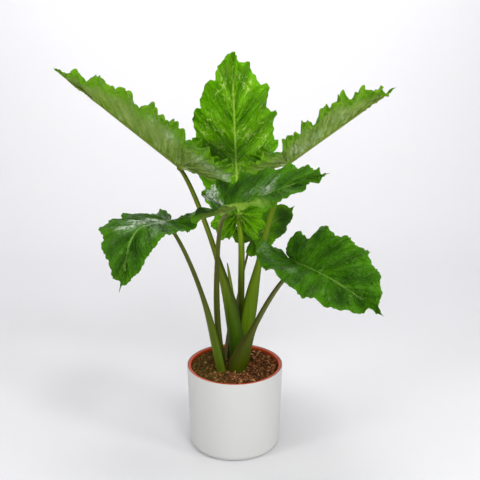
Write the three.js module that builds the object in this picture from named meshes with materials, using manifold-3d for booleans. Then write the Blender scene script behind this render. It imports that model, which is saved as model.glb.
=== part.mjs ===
// A potted portodora alocasia: seven big scalloped leaves on sheathed stems, in soil in a grow pot,
// which stands in a white outer pot. Millimetres, Z up, the origin is the middle of the pot's foot,
// and the side the photo was taken from is -Y.
import * as THREE from "three";
import { mergeVertices } from "three/addons/utils/BufferGeometryUtils.js";
import Module from "manifold-3d";

const wasm = await Module();
wasm.setup();

// Clearances and sheet sizes
const gap = 0.3; // air kept between two pieces that touch
const bladeThick = 1.3;
const ribDepth = 3.6; // the midrib stands this far below the blade at its foot
const ribSpread = 7; // and fades out over this distance to the side
const stemSink = 36; // how deep a stem goes into the soil
const seatDepth = 4.9; // the round end of a stem reaches this far below the middle of the blade

// Grid of one leaf half: steps along the margin per scallop, and the rows from rib to margin
const stepsPerScallop = 4;
const rows = [0, 0.07, 0.36, 0.7, 1];
const lobeShare = 0.4; // part of the margin whose veins all start at the stem's end

// Half outline of a leaf in leaf lengths, from the notch round the lobe to the drip tip: side, forward
const outline = [
  [0.012, -0.035],
  [0.055, -0.15],
  [0.16, -0.245],
  [0.275, -0.2],
  [0.335, -0.06],
  [0.35, 0.12],
  [0.35, 0.29],
  [0.33, 0.46],
  [0.285, 0.63],
  [0.21, 0.785],
  [0.1, 0.92],
  [0.014, 0.995],
  [0, 1.06],
];

const threadFrom = 0.995; // beyond this the outline is the thin drip tip, its length set by thread
const pinchFrom = 0.1; // a leaf with pinch is narrower from this far behind the stem's end
const pinchOver = 0.95; // up to this far along, in leaf lengths

// The outer pot
const pot = {
  height: 225,
  rimRadius: 125,
  footRadius: 119.5,
  cornerRadius: 18,
  wall: 2,
  floor: 5,
};

// The grow pot that stands in it
const growPot = {
  footRadius: 95,
  shoulderRadius: 116.5,
  lipRadius: 122.6,
  lipBottom: 210.5,
  top: 224,
  innerTop: 114.9,
  wall: 2.1,
};

// The soil
const soil = { edge: 217, middle: 220.5, lump: 1 };

// Leaves. at: where the stem ends, az/pitch: heading of the midrib, roll: right side down,
// droop/bend/sweep: turns of the midrib on its way, fold/curl: lift and roll-off of each half
// at the lobe, the middle and the tip.
const leaves = {
  a: { at: [10, 90, 609], length: 408, wide: [0.96, 0.98], pinch: [0.45, 0.45], lobe: 0.72, az: 108, pitch: 80,
    roll: 0, droop: -5, foldL: [-25, -30, 20], foldR: [-15, 5, 2], curlL: [0, 10, 10],
    curlR: [0, 20, 10],
    lobeDroop: 30, thread: 0.2, scallops: 11, scallop: 0.1,
    ruffle: 0.03, phaseL: 2.66, phaseR: 4.1 },
  b: { at: [-130, -12, 757], length: 356, wide: [0.95, 0.92], lobe: 1.5, az: 178, pitch: 38, roll: 5,
    droop: 0, foldL: [42, 46, 44], foldR: [35, 36, 33], curlL: [10, 12, 12], curlR: [10, 12, 12],
    lobeDroop: -60, seat: 4, scallops: 10, scallop: 0.09,
    ruffle: 0.03, phaseL: 3.2, phaseR: 2.2 },
  c: { at: [130, 0, 763], length: 296, wide: [0.98, 0.98], lobe: 1.6, az: 2, pitch: 35, roll: -5,
    droop: 0, foldL: [34, 22, 44], foldR: [32, 36, 54], curlL: [10, 12, 12], curlR: [10, 10, 12],
    lobeDroop: -90, scallops: 11, scallop: 0.1,
    ruffle: 0.035, phaseL: 2.6, phaseR: 2.6 },
  d: { at: [-21, -152, 678], length: 292, wide: [0.9, 0.9], lobe: 0.72, az: -40, pitch: 29, roll: 18,
    droop: 8, foldL: [92, 32, 18], foldR: [20, 34, -8], curlL: [10, 10, 20], curlR: [20, 10, 10],
    lobeDroop: -100, scallops: 9, scallop: 0.07,
    ruffle: 0.024, phaseL: 0.7, phaseR: 2.6 },
  e: { at: [-161, -52, 628], length: 276, wide: [0.72, 1.1], lobe: 1.15, az: 246, pitch: 10, roll: 0,
    droop: 12, bend: 85, bendAt: 0.54, sweep: 14, foldL: [20, -8, 0], foldR: [2, 9, -4],
    curlL: [20, 10, 10], curlR: [10, 10, 10], lobeDroop: -70, scallops: 9, scallop: 0.07,
    ruffle: 0.012, phaseL: 0, phaseR: 1.4 },
  f: { at: [156, -90, 531], length: 305, wide: [1, 1], lobe: 1.35, sinus: 0.95, az: -60, pitch: 4, roll: 0,
    droop: 15, foldL: [24, 58, 40], foldR: [24, 12, -10], curlL: [10, 10, 10], curlR: [10, 10, 10],
    lobeDroop: -125, seat: 3.4, scallops: 9, scallop: 0.07,
    ruffle: 0.025, phaseL: 1.6, phaseR: 0.5 },
  g: { at: [46, 140, 520], length: 160, wide: [1, 0.78], lobe: 1, az: 35, pitch: 28, roll: 45,
    droop: 10, foldL: [15, 15, 15], foldR: [15, 15, 15], curlL: [10, 20, 20], curlR: [10, 30, 20],
    lobeDroop: 20, scallops: 6, scallop: 0.1,
    ruffle: 0.03, phaseL: 0.2, phaseR: 1.1 },
};
// ruffle, in each leaf: wave of its margin, in leaf lengths. scallop: depth of its scallops, as a
// share of the half's width. A vein runs out to each scallop's point.
const veinLead = 0.9; // the point comes this much of a turn, in radians, before the scallop's step
const quilt = 0.012; // the blade swells up between the veins by this, in leaf lengths

// Stems. foot: where each leaves the soil, knees: the two inner control points of its curve, wide:
// sheath width, mid/top: width above the sheath and at the leaf, from/to: where the sheath narrows,
// face: direction the sheath's back looks, deep: thickness of the sheath as a share of its width.
const stems = {
  f: { foot: [4, -28], knees: [[23, -31, 290], [101, -36, 475]], wide: 50, mid: 19, top: 8.5,
    from: 0.09, to: 0.43, face: -80, deep: 0.36 },
  e: { foot: [-30, -32], knees: [[-51, -18, 328], [-106, -43, 546]], wide: 32, mid: 15.5, top: 8.6,
    from: 0.1, to: 0.52, face: 200, deep: 0.5 },
  d: { foot: [-26, -2], knees: [[-55, -5, 377], [-49, 30, 625]], wide: 17, mid: 17, top: 8.5,
    from: 0.19, to: 0.6, face: 200, deep: 0.7 },
  b: { foot: [3, 12], knees: [[35, 31, 296], [-110, 85, 715]], wide: 43, mid: 19, top: 9.5,
    from: 0.19, to: 0.56, face: -95, deep: 0.36 },
  c: { foot: [20, 32], knees: [[35, 36, 390], [90, 28, 657]], wide: 41, mid: 19, top: 10,
    from: 0.22, to: 0.52, face: -70, deep: 0.36 },
  a: { foot: [26, 54], knees: [[3, 58, 325], [32, 112, 540]], wide: 27, mid: 20, top: 15,
    from: 0.14, to: 0.41, face: 90, deep: 0.6 },
  g: { foot: [-17, 47], knees: [[-9, 82, 290], [22, 135, 450]], wide: 24, mid: 8.7, top: 5.5,
    from: 0.24, to: 0.52, face: 150, deep: 0.6 },
};
const youngSheath = { foot: [0, 34], bow: [0, 40, 380], tip: [-19.5, 38, 491], wide: 19, deep: 0.35 };
const ringPoints = 10;
const stemRings = 15;

const colours = {
  blade: 0x3f8f1f,
  stem: 0x6f8a33,
  pot: 0xf2f2ef,
  growPot: 0xc4552f,
  soil: 0x4a3222,
};

const rad = (degrees) => (degrees * Math.PI) / 180;
const smooth = (x) => {
  const v = Math.min(Math.max(x, 0), 1);
  return v * v * (3 - 2 * v);
};
const mixed = (a, b, k) => a + (b - a) * k;

// A point on the smooth curve through the outline's points, u from 0 to 1
function alongOutline(u) {
  const last = outline.length - 1;
  const k = Math.min(Math.floor(u * last), last - 1);
  const f = u * last - k;
  const pick = (i) => outline[Math.min(Math.max(i, 0), last)];
  const [a, b, c, d] = [pick(k - 1), pick(k), pick(k + 1), pick(k + 2)];
  return [0, 1].map(
    (n) =>
      0.5 *
      (2 * b[n] +
        (c[n] - a[n]) * f +
        (2 * a[n] - 5 * b[n] + 4 * c[n] - d[n]) * f * f +
        (3 * b[n] - 3 * c[n] + d[n] - a[n]) * f * f * f),
  );
}

// The midrib of a leaf as a table of points and directions, walked in small steps both ways
// from the stem's end, so that lobes behind it follow their own bend
function midribOf(leaf) {
  const { az, pitch, roll, droop, bend = 0, bendAt = 0.4, sweep = 0, lobeDroop } = leaf;
  const [a, p, r] = [rad(az), rad(pitch), rad(roll)];
  const heading = new THREE.Vector3(Math.cos(p) * Math.cos(a), Math.cos(p) * Math.sin(a), Math.sin(p));
  const lift = new THREE.Vector3(-Math.sin(p) * Math.cos(a), -Math.sin(p) * Math.sin(a), Math.cos(p));
  const flat = new THREE.Vector3().crossVectors(heading, lift);
  const up = lift.clone().multiplyScalar(Math.cos(r)).addScaledVector(flat, Math.sin(r));
  const right = new THREE.Vector3().crossVectors(heading, up);
  const step = 0.01;
  const first = -60;
  const lastStep = 115;
  const bendStart = smooth((0 - bendAt) / 0.4 + 0.5);
  const table = [];
  for (let i = first; i <= lastStep; i++) {
    const y = i * step;
    const forwardTurn = droop * y + bend * (smooth((y - bendAt) / 0.4 + 0.5) - bendStart);
    const down = rad(y > 0 ? forwardTurn : lobeDroop * y);
    const side = rad(y > 0 ? sweep * y : 0);
    const ahead = heading.clone().multiplyScalar(Math.cos(down)).addScaledVector(up, -Math.sin(down));
    const tangent = ahead.multiplyScalar(Math.cos(side)).addScaledVector(right, Math.sin(side));
    const normal = heading.clone().multiplyScalar(Math.sin(down)).addScaledVector(up, Math.cos(down));
    table.push({ tangent, normal, point: new THREE.Vector3() });
  }
  for (const way of [1, -1])
    for (let i = -first + way; i >= 0 && i < table.length; i += way) {
      const before = table[i - way];
      const move = before.tangent.clone().add(table[i].tangent).multiplyScalar((way * step) / 2);
      table[i].point.copy(before.point).add(move);
    }
  return (y) => {
    const place = Math.min(Math.max(y / step - first, 0), table.length - 1.001);
    const [lower, k] = [Math.floor(place), place - Math.floor(place)];
    const between = (name) => table[lower][name].clone().lerp(table[lower + 1][name], k);
    const point = between("point").multiplyScalar(leaf.length).add(new THREE.Vector3(...leaf.at));
    const tangent = between("tangent").normalize();
    const normal = between("normal");
    normal.addScaledVector(tangent, -normal.dot(tangent)).normalize();
    return { point, tangent, normal, side: new THREE.Vector3().crossVectors(tangent, normal) };
  };
}

// A point of the blade's middle surface: side is +1 right or -1 left, t runs along the margin
// from the notch to the tip, b from the rib out to the margin
function bladePoint(leaf, midrib, side, t, b) {
  const [mx, my] = alongOutline(t);
  const thread = Math.max(my - threadFrom, 0) * (leaf.thread ?? 1);
  const edgeY = my < 0 ? my * leaf.lobe : Math.min(my, threadFrom) + thread;
  const wave = 2 * Math.PI * leaf.scallops * t + (side > 0 ? leaf.phaseR : leaf.phaseL);
  const held = smooth(t / 0.06) * smooth((1 - t) / 0.1);
  const step = Math.sin(wave) + 0.4 * Math.sin(2 * wave) + 0.12 * Math.sin(3 * wave);
  const teeth = 0.18 * Math.cos(0.5 * wave + 1.3) - 0.62 * step;
  const reach = b * (1 + leaf.scallop * held * teeth * b ** 3);
  const rootY = 0.97 * (Math.max(t - lobeShare, 0) / (1 - lobeShare)) ** 1.15;
  const half = side > 0 ? 1 : 0;
  const pinch = (leaf.pinch?.[half] ?? 0) * (1 - smooth((my + pinchFrom) / pinchOver));
  const shut = (leaf.sinus ?? 0) * (1 - smooth((t - 0.05) / 0.15)); // draws the lobes' inner edges together
  const x = mx * leaf.wide[half] * (1 - pinch) * (1 - shut) * reach;
  const y = rootY + (edgeY - rootY) * reach;
  const at = midrib(y);
  const blend = ([lobe, base, tip]) =>
    y < 0 ? mixed(base, lobe, smooth(-y / 0.25)) : mixed(base, tip, smooth(y / 0.9));
  const start = rad(blend(side > 0 ? leaf.foldR : leaf.foldL));
  const turned = rad(blend(side > 0 ? leaf.curlR : leaf.curlL)) / 0.33;
  const rate = Math.abs(turned) < 1e-3 ? 1e-3 : turned;
  const slope = start - rate * x;
  const out = (Math.sin(start) - Math.sin(slope)) / rate;
  const up = (Math.cos(slope) - Math.cos(start)) / rate;
  const phase = side > 0 ? leaf.phaseR : leaf.phaseL;
  const shape =
    0.8 * Math.cos(wave + 0.4) + 0.45 * Math.sin(0.5 * wave + 0.9 + phase) + 0.25 * Math.cos(1.5 * wave);
  const swell = quilt * held * Math.cos(wave + veinLead) * Math.sin(Math.PI * b);
  const rise = leaf.ruffle * held * b ** 2.2 * shape - swell;
  const lateral = side * leaf.length * (out - Math.sin(slope) * rise);
  const height = leaf.length * (up + Math.cos(slope) * rise);
  const point = at.point.clone().addScaledVector(at.side, lateral).addScaledVector(at.normal, height);
  return { point, x: x * leaf.length, y };
}

// The blade as one closed sheet: middle surface first, then both faces off it, split alike
function bladeGeometry(leaf, grow = 0) {
  const midrib = midribOf(leaf);
  const steps = leaf.scallops * stepsPerScallop;
  const fan = Math.floor(lobeShare * steps);
  const seen = new Map();
  const middle = [];
  const idOf = (side, i, j) => {
    const key =
      j === 0 ? "rib" + (i <= fan ? 0 : i) : i === steps ? "tip" + j : [side, i, j].join();
    if (!seen.has(key)) {
      const share = j === 0 && i <= fan ? 0 : i / steps;
      seen.set(key, middle.length);
      middle.push(bladePoint(leaf, midrib, side, share, rows[j]));
    }
    return seen.get(key);
  };
  const top = [];
  const add = (a, b, c) => a !== b && b !== c && c !== a && top.push([a, b, c]);
  for (const side of [-1, 1])
    for (let i = 0; i < steps; i++)
      for (let j = 0; j < rows.length - 1; j++) {
        const quad = [idOf(side, i, j), idOf(side, i + 1, j), idOf(side, i + 1, j + 1), idOf(side, i, j + 1)];
        if (side > 0) quad.reverse();
        add(quad[0], quad[1], quad[2]);
        add(quad[0], quad[2], quad[3]);
      }
  const normals = middle.map(() => new THREE.Vector3());
  for (const [a, b, c] of top) {
    const first = middle[b].point.clone().sub(middle[a].point);
    const face = first.cross(middle[c].point.clone().sub(middle[a].point));
    for (const v of [a, b, c]) normals[v].add(face);
  }
  const points = [];
  for (const face of [1, -1])
    middle.forEach(({ point, x, y }, v) => {
      const rib = ribDepth * Math.exp(-((x / ribSpread) ** 2)) * (1 - 0.75 * Math.min(Math.max(y, 0), 1));
      const offset = bladeThick / 2 + grow + (face < 0 ? rib : 0);
      points.push(...point.clone().addScaledVector(normals[v].clone().normalize(), face * offset).toArray());
    });
  const count = middle.length;
  const index = [];
  const edges = new Set(top.flatMap(([a, b, c]) => [a + "_" + b, b + "_" + c, c + "_" + a]));
  for (const [a, b, c] of top) {
    index.push(a, b, c, a + count, c + count, b + count);
    for (const [p, q] of [[a, b], [b, c], [c, a]])
      if (!edges.has(q + "_" + p)) index.push(q, p, p + count, q, p + count, q + count);
  }
  return meshOf(points, index);
}

function meshOf(points, index) {
  const made = new THREE.BufferGeometry();
  made.setAttribute("position", new THREE.Float32BufferAttribute(points, 3));
  made.setIndex(index);
  return made;
}

// A tube with its own section at each ring: half width and depths behind and in front
function tubeGeometry(rings) {
  const points = [];
  const index = [];
  rings.forEach(({ centre, across, back, half, out, inner }) => {
    for (let k = 0; k < ringPoints; k++) {
      const angle = (2 * Math.PI * k) / ringPoints;
      const depth = Math.sin(angle) > 0 ? out : inner;
      const p = centre.clone().addScaledVector(across, half * Math.cos(angle));
      points.push(...p.addScaledVector(back, depth * Math.sin(angle)).toArray());
    }
  });
  for (let r = 0; r < rings.length - 1; r++)
    for (let k = 0; k < ringPoints; k++) {
      const [a, b] = [r * ringPoints + k, r * ringPoints + ((k + 1) % ringPoints)];
      index.push(a, b + ringPoints, b, a, a + ringPoints, b + ringPoints);
    }
  for (const end of [0, rings.length - 1]) {
    const middle = points.length / 3;
    points.push(...rings[end].centre.toArray());
    for (let k = 0; k < ringPoints; k++) {
      const [a, b] = [end * ringPoints + k, end * ringPoints + ((k + 1) % ringPoints)];
      index.push(...(end === 0 ? [middle, a, b] : [middle, b, a]));
    }
  }
  return meshOf(points, index);
}

// The stem's curve: straight down in the soil, then a bow up to just below the leaf's foot
function stemCurve(stem, leaf) {
  const { point, normal } = midribOf(leaf)(0);
  const end = point.addScaledVector(normal, -(stem.top / 2 + (leaf.seat ?? seatDepth)));
  const start = new THREE.Vector3(...stem.foot, soil.edge);
  const [one, two] = stem.knees.map((k) => new THREE.Vector3(...k));
  return new THREE.CubicBezierCurve3(start, one, two, end);
}

function stemGeometry(stem, leaf, grow = 0) {
  const curve = stemCurve(stem, leaf);
  const face = new THREE.Vector3(Math.cos(rad(stem.face)), Math.sin(rad(stem.face)), 0);
  const ringAt = (u, scale, centre) => {
    const sheath = 1 - smooth((u - stem.from) / (stem.to - stem.from));
    const width = mixed(mixed(stem.mid, stem.top, u), stem.wide, sheath) * scale;
    const tangent = curve.getTangent(u);
    const across = new THREE.Vector3().crossVectors(tangent, face).normalize();
    const back = new THREE.Vector3().crossVectors(across, tangent).normalize();
    const half = width / 2 + grow;
    const out = mixed(width / 2, width * stem.deep, sheath) + grow;
    const inner = mixed(width / 2, width * stem.deep * 0.35, sheath) + grow;
    return { centre, across, back, half, out, inner };
  };
  const rings = [];
  const foot = curve.getPoint(0);
  const sunk = foot.clone().addScaledVector(curve.getTangent(0), -stemSink - grow);
  rings.push(ringAt(0, 0.75, sunk));
  rings.push(ringAt(0, 1, foot.clone().lerp(sunk, 0.7)));
  for (let i = 0; i <= stemRings; i++) {
    const u = i / stemRings;
    rings.push(ringAt(u, 1, curve.getPoint(u)));
  }
  const radius = stem.top / 2 + grow;
  for (const angle of [35, 68]) {
    const cap = curve.getPoint(1).addScaledVector(curve.getTangent(1), radius * Math.sin(rad(angle)));
    rings.push(ringAt(1, Math.cos(rad(angle)), cap));
  }
  return tubeGeometry(rings);
}

function youngSheathGeometry(grow = 0) {
  const { foot, tip, bow, wide, deep } = youngSheath;
  const start = new THREE.Vector3(...foot, soil.edge);
  const curve = new THREE.QuadraticBezierCurve3(start, new THREE.Vector3(...bow), new THREE.Vector3(...tip));
  const face = new THREE.Vector3(0, -1, 0);
  const rings = [];
  for (let i = -1; i <= stemRings; i++) {
    const u = Math.max(i, 0) / stemRings;
    const tangent = curve.getTangent(u);
    const across = new THREE.Vector3().crossVectors(tangent, face).normalize();
    const back = new THREE.Vector3().crossVectors(across, tangent).normalize();
    const width = wide * (1 - u) ** 0.6 + 1.2;
    const centre = curve.getPoint(u).addScaledVector(tangent, i < 0 ? -stemSink : 0);
    const depth = width * deep + grow;
    rings.push({ centre, across, back, half: width / 2 + grow, out: depth, inner: depth });
  }
  return tubeGeometry(rings);
}

// Turned pieces: a profile of radius and height, once round the Z axis
function turned(profile, segments) {
  const made = new THREE.LatheGeometry(profile.map(([r, z]) => new THREE.Vector2(r, z)), segments);
  return made.rotateX(Math.PI / 2);
}

// A rounded corner as profile points, about a centre, between two angles
function corner(radius, centreR, centreZ, fromDeg, toDeg, pieces) {
  return Array.from({ length: pieces + 1 }, (_, i) => {
    const angle = rad(mixed(fromDeg, toDeg, i / pieces));
    return [centreR + radius * Math.cos(angle), centreZ + radius * Math.sin(angle)];
  });
}

function potProfile() {
  const { height, rimRadius, footRadius, cornerRadius, wall, floor } = pot;
  const lip = wall / 2;
  return [
    [0, 0],
    ...corner(cornerRadius, footRadius - cornerRadius, cornerRadius, -90, 0, 5),
    ...corner(lip, rimRadius - lip, height - lip, 0, 180, 5),
    ...corner(cornerRadius - wall, footRadius - cornerRadius, floor + cornerRadius - wall, 0, -90, 3),
    [0, floor],
  ];
}

const growFloor = pot.floor + gap;
function growPotProfile() {
  const { footRadius, shoulderRadius, lipRadius, lipBottom, top, innerTop, wall } = growPot;
  return [
    [0, growFloor],
    [footRadius - 2, growFloor],
    [footRadius, growFloor + 2],
    [shoulderRadius, lipBottom - 1],
    [lipRadius - 1.1, lipBottom],
    [lipRadius - 0.3, lipBottom + 1],
    [lipRadius, top - 1.5],
    [lipRadius - 1.2, top],
    [innerTop + 2, top],
    [innerTop, top - 2.5],
    [footRadius - wall, growFloor + wall],
    [0, growFloor + wall],
  ];
}

function soilGeometry() {
  const { footRadius, innerTop, top, wall } = growPot;
  const bottom = growFloor + wall + gap;
  const wallAt = (z) =>
    mixed(footRadius - wall, innerTop, (z - growFloor - wall) / (top - 2.5 - growFloor - wall)) - gap - 0.1;
  const profile = [[0, bottom], [wallAt(bottom), bottom], [wallAt(soil.edge), soil.edge]];
  const ringCount = 6;
  for (let i = 1; i < ringCount; i++) {
    const r = wallAt(soil.edge) * (1 - i / ringCount);
    profile.push([r, mixed(soil.edge, soil.middle, smooth(i / ringCount))]);
  }
  profile.push([0, soil.middle]);
  const made = turned(profile, 40);
  const place = made.getAttribute("position");
  for (let i = 0; i < place.count; i++) {
    const [x, y, z] = [place.getX(i), place.getY(i), place.getZ(i)];
    const inside = z > soil.edge + 0.1 ? 1 : 0;
    const lumps = Math.sin(x / 11 + y / 17) + Math.sin(y / 9 - x / 23) + Math.cos(x / 7) * Math.cos(y / 8);
    place.setZ(i, z + inside * soil.lump * lumps);
  }
  return made;
}

function asSolid(geometry) {
  const bare = geometry.clone();
  bare.deleteAttribute("normal");
  bare.deleteAttribute("uv");
  const merged = mergeVertices(bare, 1e-3);
  return new wasm.Manifold(
    new wasm.Mesh({
      numProp: 3,
      vertProperties: new Float32Array(merged.attributes.position.array),
      triVerts: new Uint32Array(merged.index.array),
    }),
  );
}

function asGeometry(solid) {
  const mesh = solid.getMesh();
  const made = new THREE.BufferGeometry();
  const points = new Float32Array(mesh.numVert * 3);
  for (let i = 0; i < mesh.numVert; i++)
    points.set(mesh.vertProperties.subarray(i * mesh.numProp, i * mesh.numProp + 3), i * 3);
  made.setAttribute("position", new THREE.BufferAttribute(points, 3));
  made.setIndex(new THREE.BufferAttribute(new Uint32Array(mesh.triVerts), 1));
  made.computeVertexNormals();
  return made;
}

const group = new THREE.Group();
function place(name, solid, colour, roughness) {
  const mesh = new THREE.Mesh(
    asGeometry(solid),
    new THREE.MeshStandardMaterial({ name: name + "_finish", color: colour, roughness, side: THREE.DoubleSide }),
  );
  mesh.name = name;
  group.add(mesh);
}

// Front stems keep their whole form; those behind give way to them by the gap
const placed = [];
let ground = asSolid(soilGeometry());
for (const [key, stem] of Object.entries(stems)) {
  let solid = asSolid(stemGeometry(stem, leaves[key]));
  for (const front of placed) solid = solid.subtract(front);
  solid = solid.subtract(asSolid(bladeGeometry(leaves[key], gap)));
  const grown = asSolid(stemGeometry(stem, leaves[key], gap));
  placed.push(grown);
  ground = ground.subtract(grown);
  place("stem_" + key, solid, colours.stem, 0.5);
}
let young = asSolid(youngSheathGeometry());
for (const front of placed) young = young.subtract(front);
ground = ground.subtract(asSolid(youngSheathGeometry(gap)));
place("young_sheath", young, colours.stem, 0.5);
place("soil", ground, colours.soil, 1);

for (const [key, leaf] of Object.entries(leaves))
  place("blade_" + key, asSolid(bladeGeometry(leaf)), colours.blade, 0.4);

place("cachepot", asSolid(turned(potProfile(), 48)), colours.pot, 0.5);
place("nursery_pot", asSolid(turned(growPotProfile(), 48)), colours.growPot, 0.6);

export default group;
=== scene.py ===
import math

import bpy
import numpy as np
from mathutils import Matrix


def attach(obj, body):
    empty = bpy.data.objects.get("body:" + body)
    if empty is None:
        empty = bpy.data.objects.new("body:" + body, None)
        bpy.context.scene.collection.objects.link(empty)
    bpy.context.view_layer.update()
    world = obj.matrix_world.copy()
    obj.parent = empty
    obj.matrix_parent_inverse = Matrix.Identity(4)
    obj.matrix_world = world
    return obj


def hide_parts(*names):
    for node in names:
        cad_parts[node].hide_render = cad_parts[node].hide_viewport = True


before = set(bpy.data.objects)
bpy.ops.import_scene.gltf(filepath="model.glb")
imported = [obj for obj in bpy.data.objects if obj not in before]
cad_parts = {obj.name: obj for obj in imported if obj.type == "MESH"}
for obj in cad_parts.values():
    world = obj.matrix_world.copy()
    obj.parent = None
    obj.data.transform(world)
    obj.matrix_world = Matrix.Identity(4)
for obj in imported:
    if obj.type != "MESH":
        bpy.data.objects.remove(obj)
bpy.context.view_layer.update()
scene = bpy.context.scene
mm = 0.001  # the plant's sizes below are in millimetres, as in the part's source


# Camera: straight ahead along +Y, tipped down, at the photo's distance
camera = {"place": (0.0137, -2.0, 1.182), "tipDown": 17.18, "lens": 62.55, "sensor": 36}

cameraData = bpy.data.cameras.new("camera")
cameraData.lens, cameraData.sensor_width = camera["lens"], camera["sensor"]
cameraObject = bpy.data.objects.new("camera", cameraData)
cameraObject.location = camera["place"]
cameraObject.rotation_euler = (math.radians(90 - camera["tipDown"]), 0, 0)
scene.collection.objects.link(cameraObject)
scene.camera = cameraObject
print("camera placed")


# Small helpers for shapes
def smooth(x):  # 0 below 0, 1 above 1, an S between
    x = np.clip(x, 0, 1)
    return x * x * (3 - 2 * x)


def mixed(a, b, k):  # a where k is 0, b where it is 1
    return a + (b - a) * k


def unit(v):  # of length 1
    return v / np.maximum(np.linalg.norm(v, axis=-1, keepdims=True), 1e-12)


def throughPoints(points, u):
    # A smooth curve through the points: on each stretch a cubic whose slope at a point is half the step
    # between its neighbours. u runs from 0 to 1 over the whole curve.
    points = np.asarray(points, float)
    last = len(points) - 1
    k = np.clip(np.floor(u * last).astype(int), 0, last - 1)
    f = (u * last - k)[..., None]
    a, b, c, d = (points[np.clip(k + step, 0, last)] for step in (-1, 0, 1, 2))
    return 0.5 * (2 * b + (c - a) * f + (2 * a - 5 * b + 4 * c - d) * f**2 + (3 * b - 3 * c + d - a) * f**3)


def softNoise(x, y, seed, cells=64):
    # Smooth noise from -1 to 1: random heights on a grid of whole numbers, blended by the S curve. It
    # repeats after that many cells.
    heights = np.random.default_rng(seed).uniform(-1, 1, (cells, cells))
    i, j = np.floor(x).astype(int), np.floor(y).astype(int)
    fx, fy = smooth(x - i), smooth(y - j)
    pick = lambda p, q: heights[(i + p) % cells, (j + q) % cells]
    low, high = mixed(pick(0, 0), pick(1, 0), fx), mixed(pick(0, 1), pick(1, 1), fx)
    return mixed(low, high, fy)


def meshPiece(name, points, triangles, material, replaced=(), corners=None, marks=None):
    # One object from points in millimetres and triangles. corners: named maps with two numbers for each
    # corner of each triangle. marks: named values with one number for each point.
    mesh = bpy.data.meshes.new(name)
    triangles = np.asarray(triangles)
    mesh.vertices.add(len(points))
    mesh.vertices.foreach_set("co", (np.asarray(points, float) * mm).ravel())
    mesh.loops.add(triangles.size)
    mesh.loops.foreach_set("vertex_index", triangles.ravel())
    mesh.polygons.add(len(triangles))
    mesh.polygons.foreach_set("loop_start", np.arange(0, triangles.size, 3))
    mesh.update(calc_edges=True)
    mesh.polygons.foreach_set("use_smooth", np.ones(len(triangles), bool))
    for key, values in (corners or {}).items():
        mesh.uv_layers.new(name=key).data.foreach_set("uv", np.asarray(values, float).ravel())
    for key, values in (marks or {}).items():
        mesh.attributes.new(key, "FLOAT", "POINT").data.foreach_set("value", np.asarray(values, float))
    mesh.validate()
    made = bpy.data.objects.new(name, mesh)
    scene.collection.objects.link(made)
    made.data.materials.append(material)
    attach(made, "root")
    if replaced:
        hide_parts(*replaced)


def gridTriangles(rows, columns, wrap=False):
    # Triangles over a grid of points stored row by row, each cell split the same way.
    i, j = np.meshgrid(np.arange(rows - 1), np.arange(columns - (0 if wrap else 1)), indexing="ij")
    a, b = i * columns + j, i * columns + (j + 1) % columns
    c, d = a + columns, b + columns
    return np.stack([np.stack([a, b, d], -1), np.stack([a, d, c], -1)], 2).reshape(-1, 3)


def closedSkin(rings, columns):
    # Triangles over closed rings of points, and a fan at each end. The fans' middles are the last two
    # points.
    line, last = np.arange(columns), (rings - 1) * columns
    low = np.stack([np.full(columns, last + columns), np.roll(line, -1), line], -1)
    high = np.stack([np.full(columns, last + columns + 1), line + last, np.roll(line, -1) + last], -1)
    return np.concatenate([gridTriangles(rings, columns, wrap=True), low, high])


# Small helpers for materials
class Wire:
    # A value in a node tree that takes part in plain sums: each operator adds one Math node.

    def __init__(self, paint, socket):
        self.paint, self.socket = paint, socket

    def math(self, operation, *values):
        return self.paint.node("Math", {"operation": operation}, dict(enumerate(values)))

    def __add__(self, other):
        return self.math("ADD", self, other)

    def __radd__(self, other):
        return self.math("ADD", other, self)

    def __sub__(self, other):
        return self.math("SUBTRACT", self, other)

    def __rsub__(self, other):
        return self.math("SUBTRACT", other, self)

    def __mul__(self, other):
        return self.math("MULTIPLY", self, other)

    def __rmul__(self, other):
        return self.math("MULTIPLY", other, self)

    def __truediv__(self, other):
        return self.math("DIVIDE", self, other)

    def __rtruediv__(self, other):
        return self.math("DIVIDE", other, self)

    def __abs__(self):
        return self.math("ABSOLUTE", self)


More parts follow.
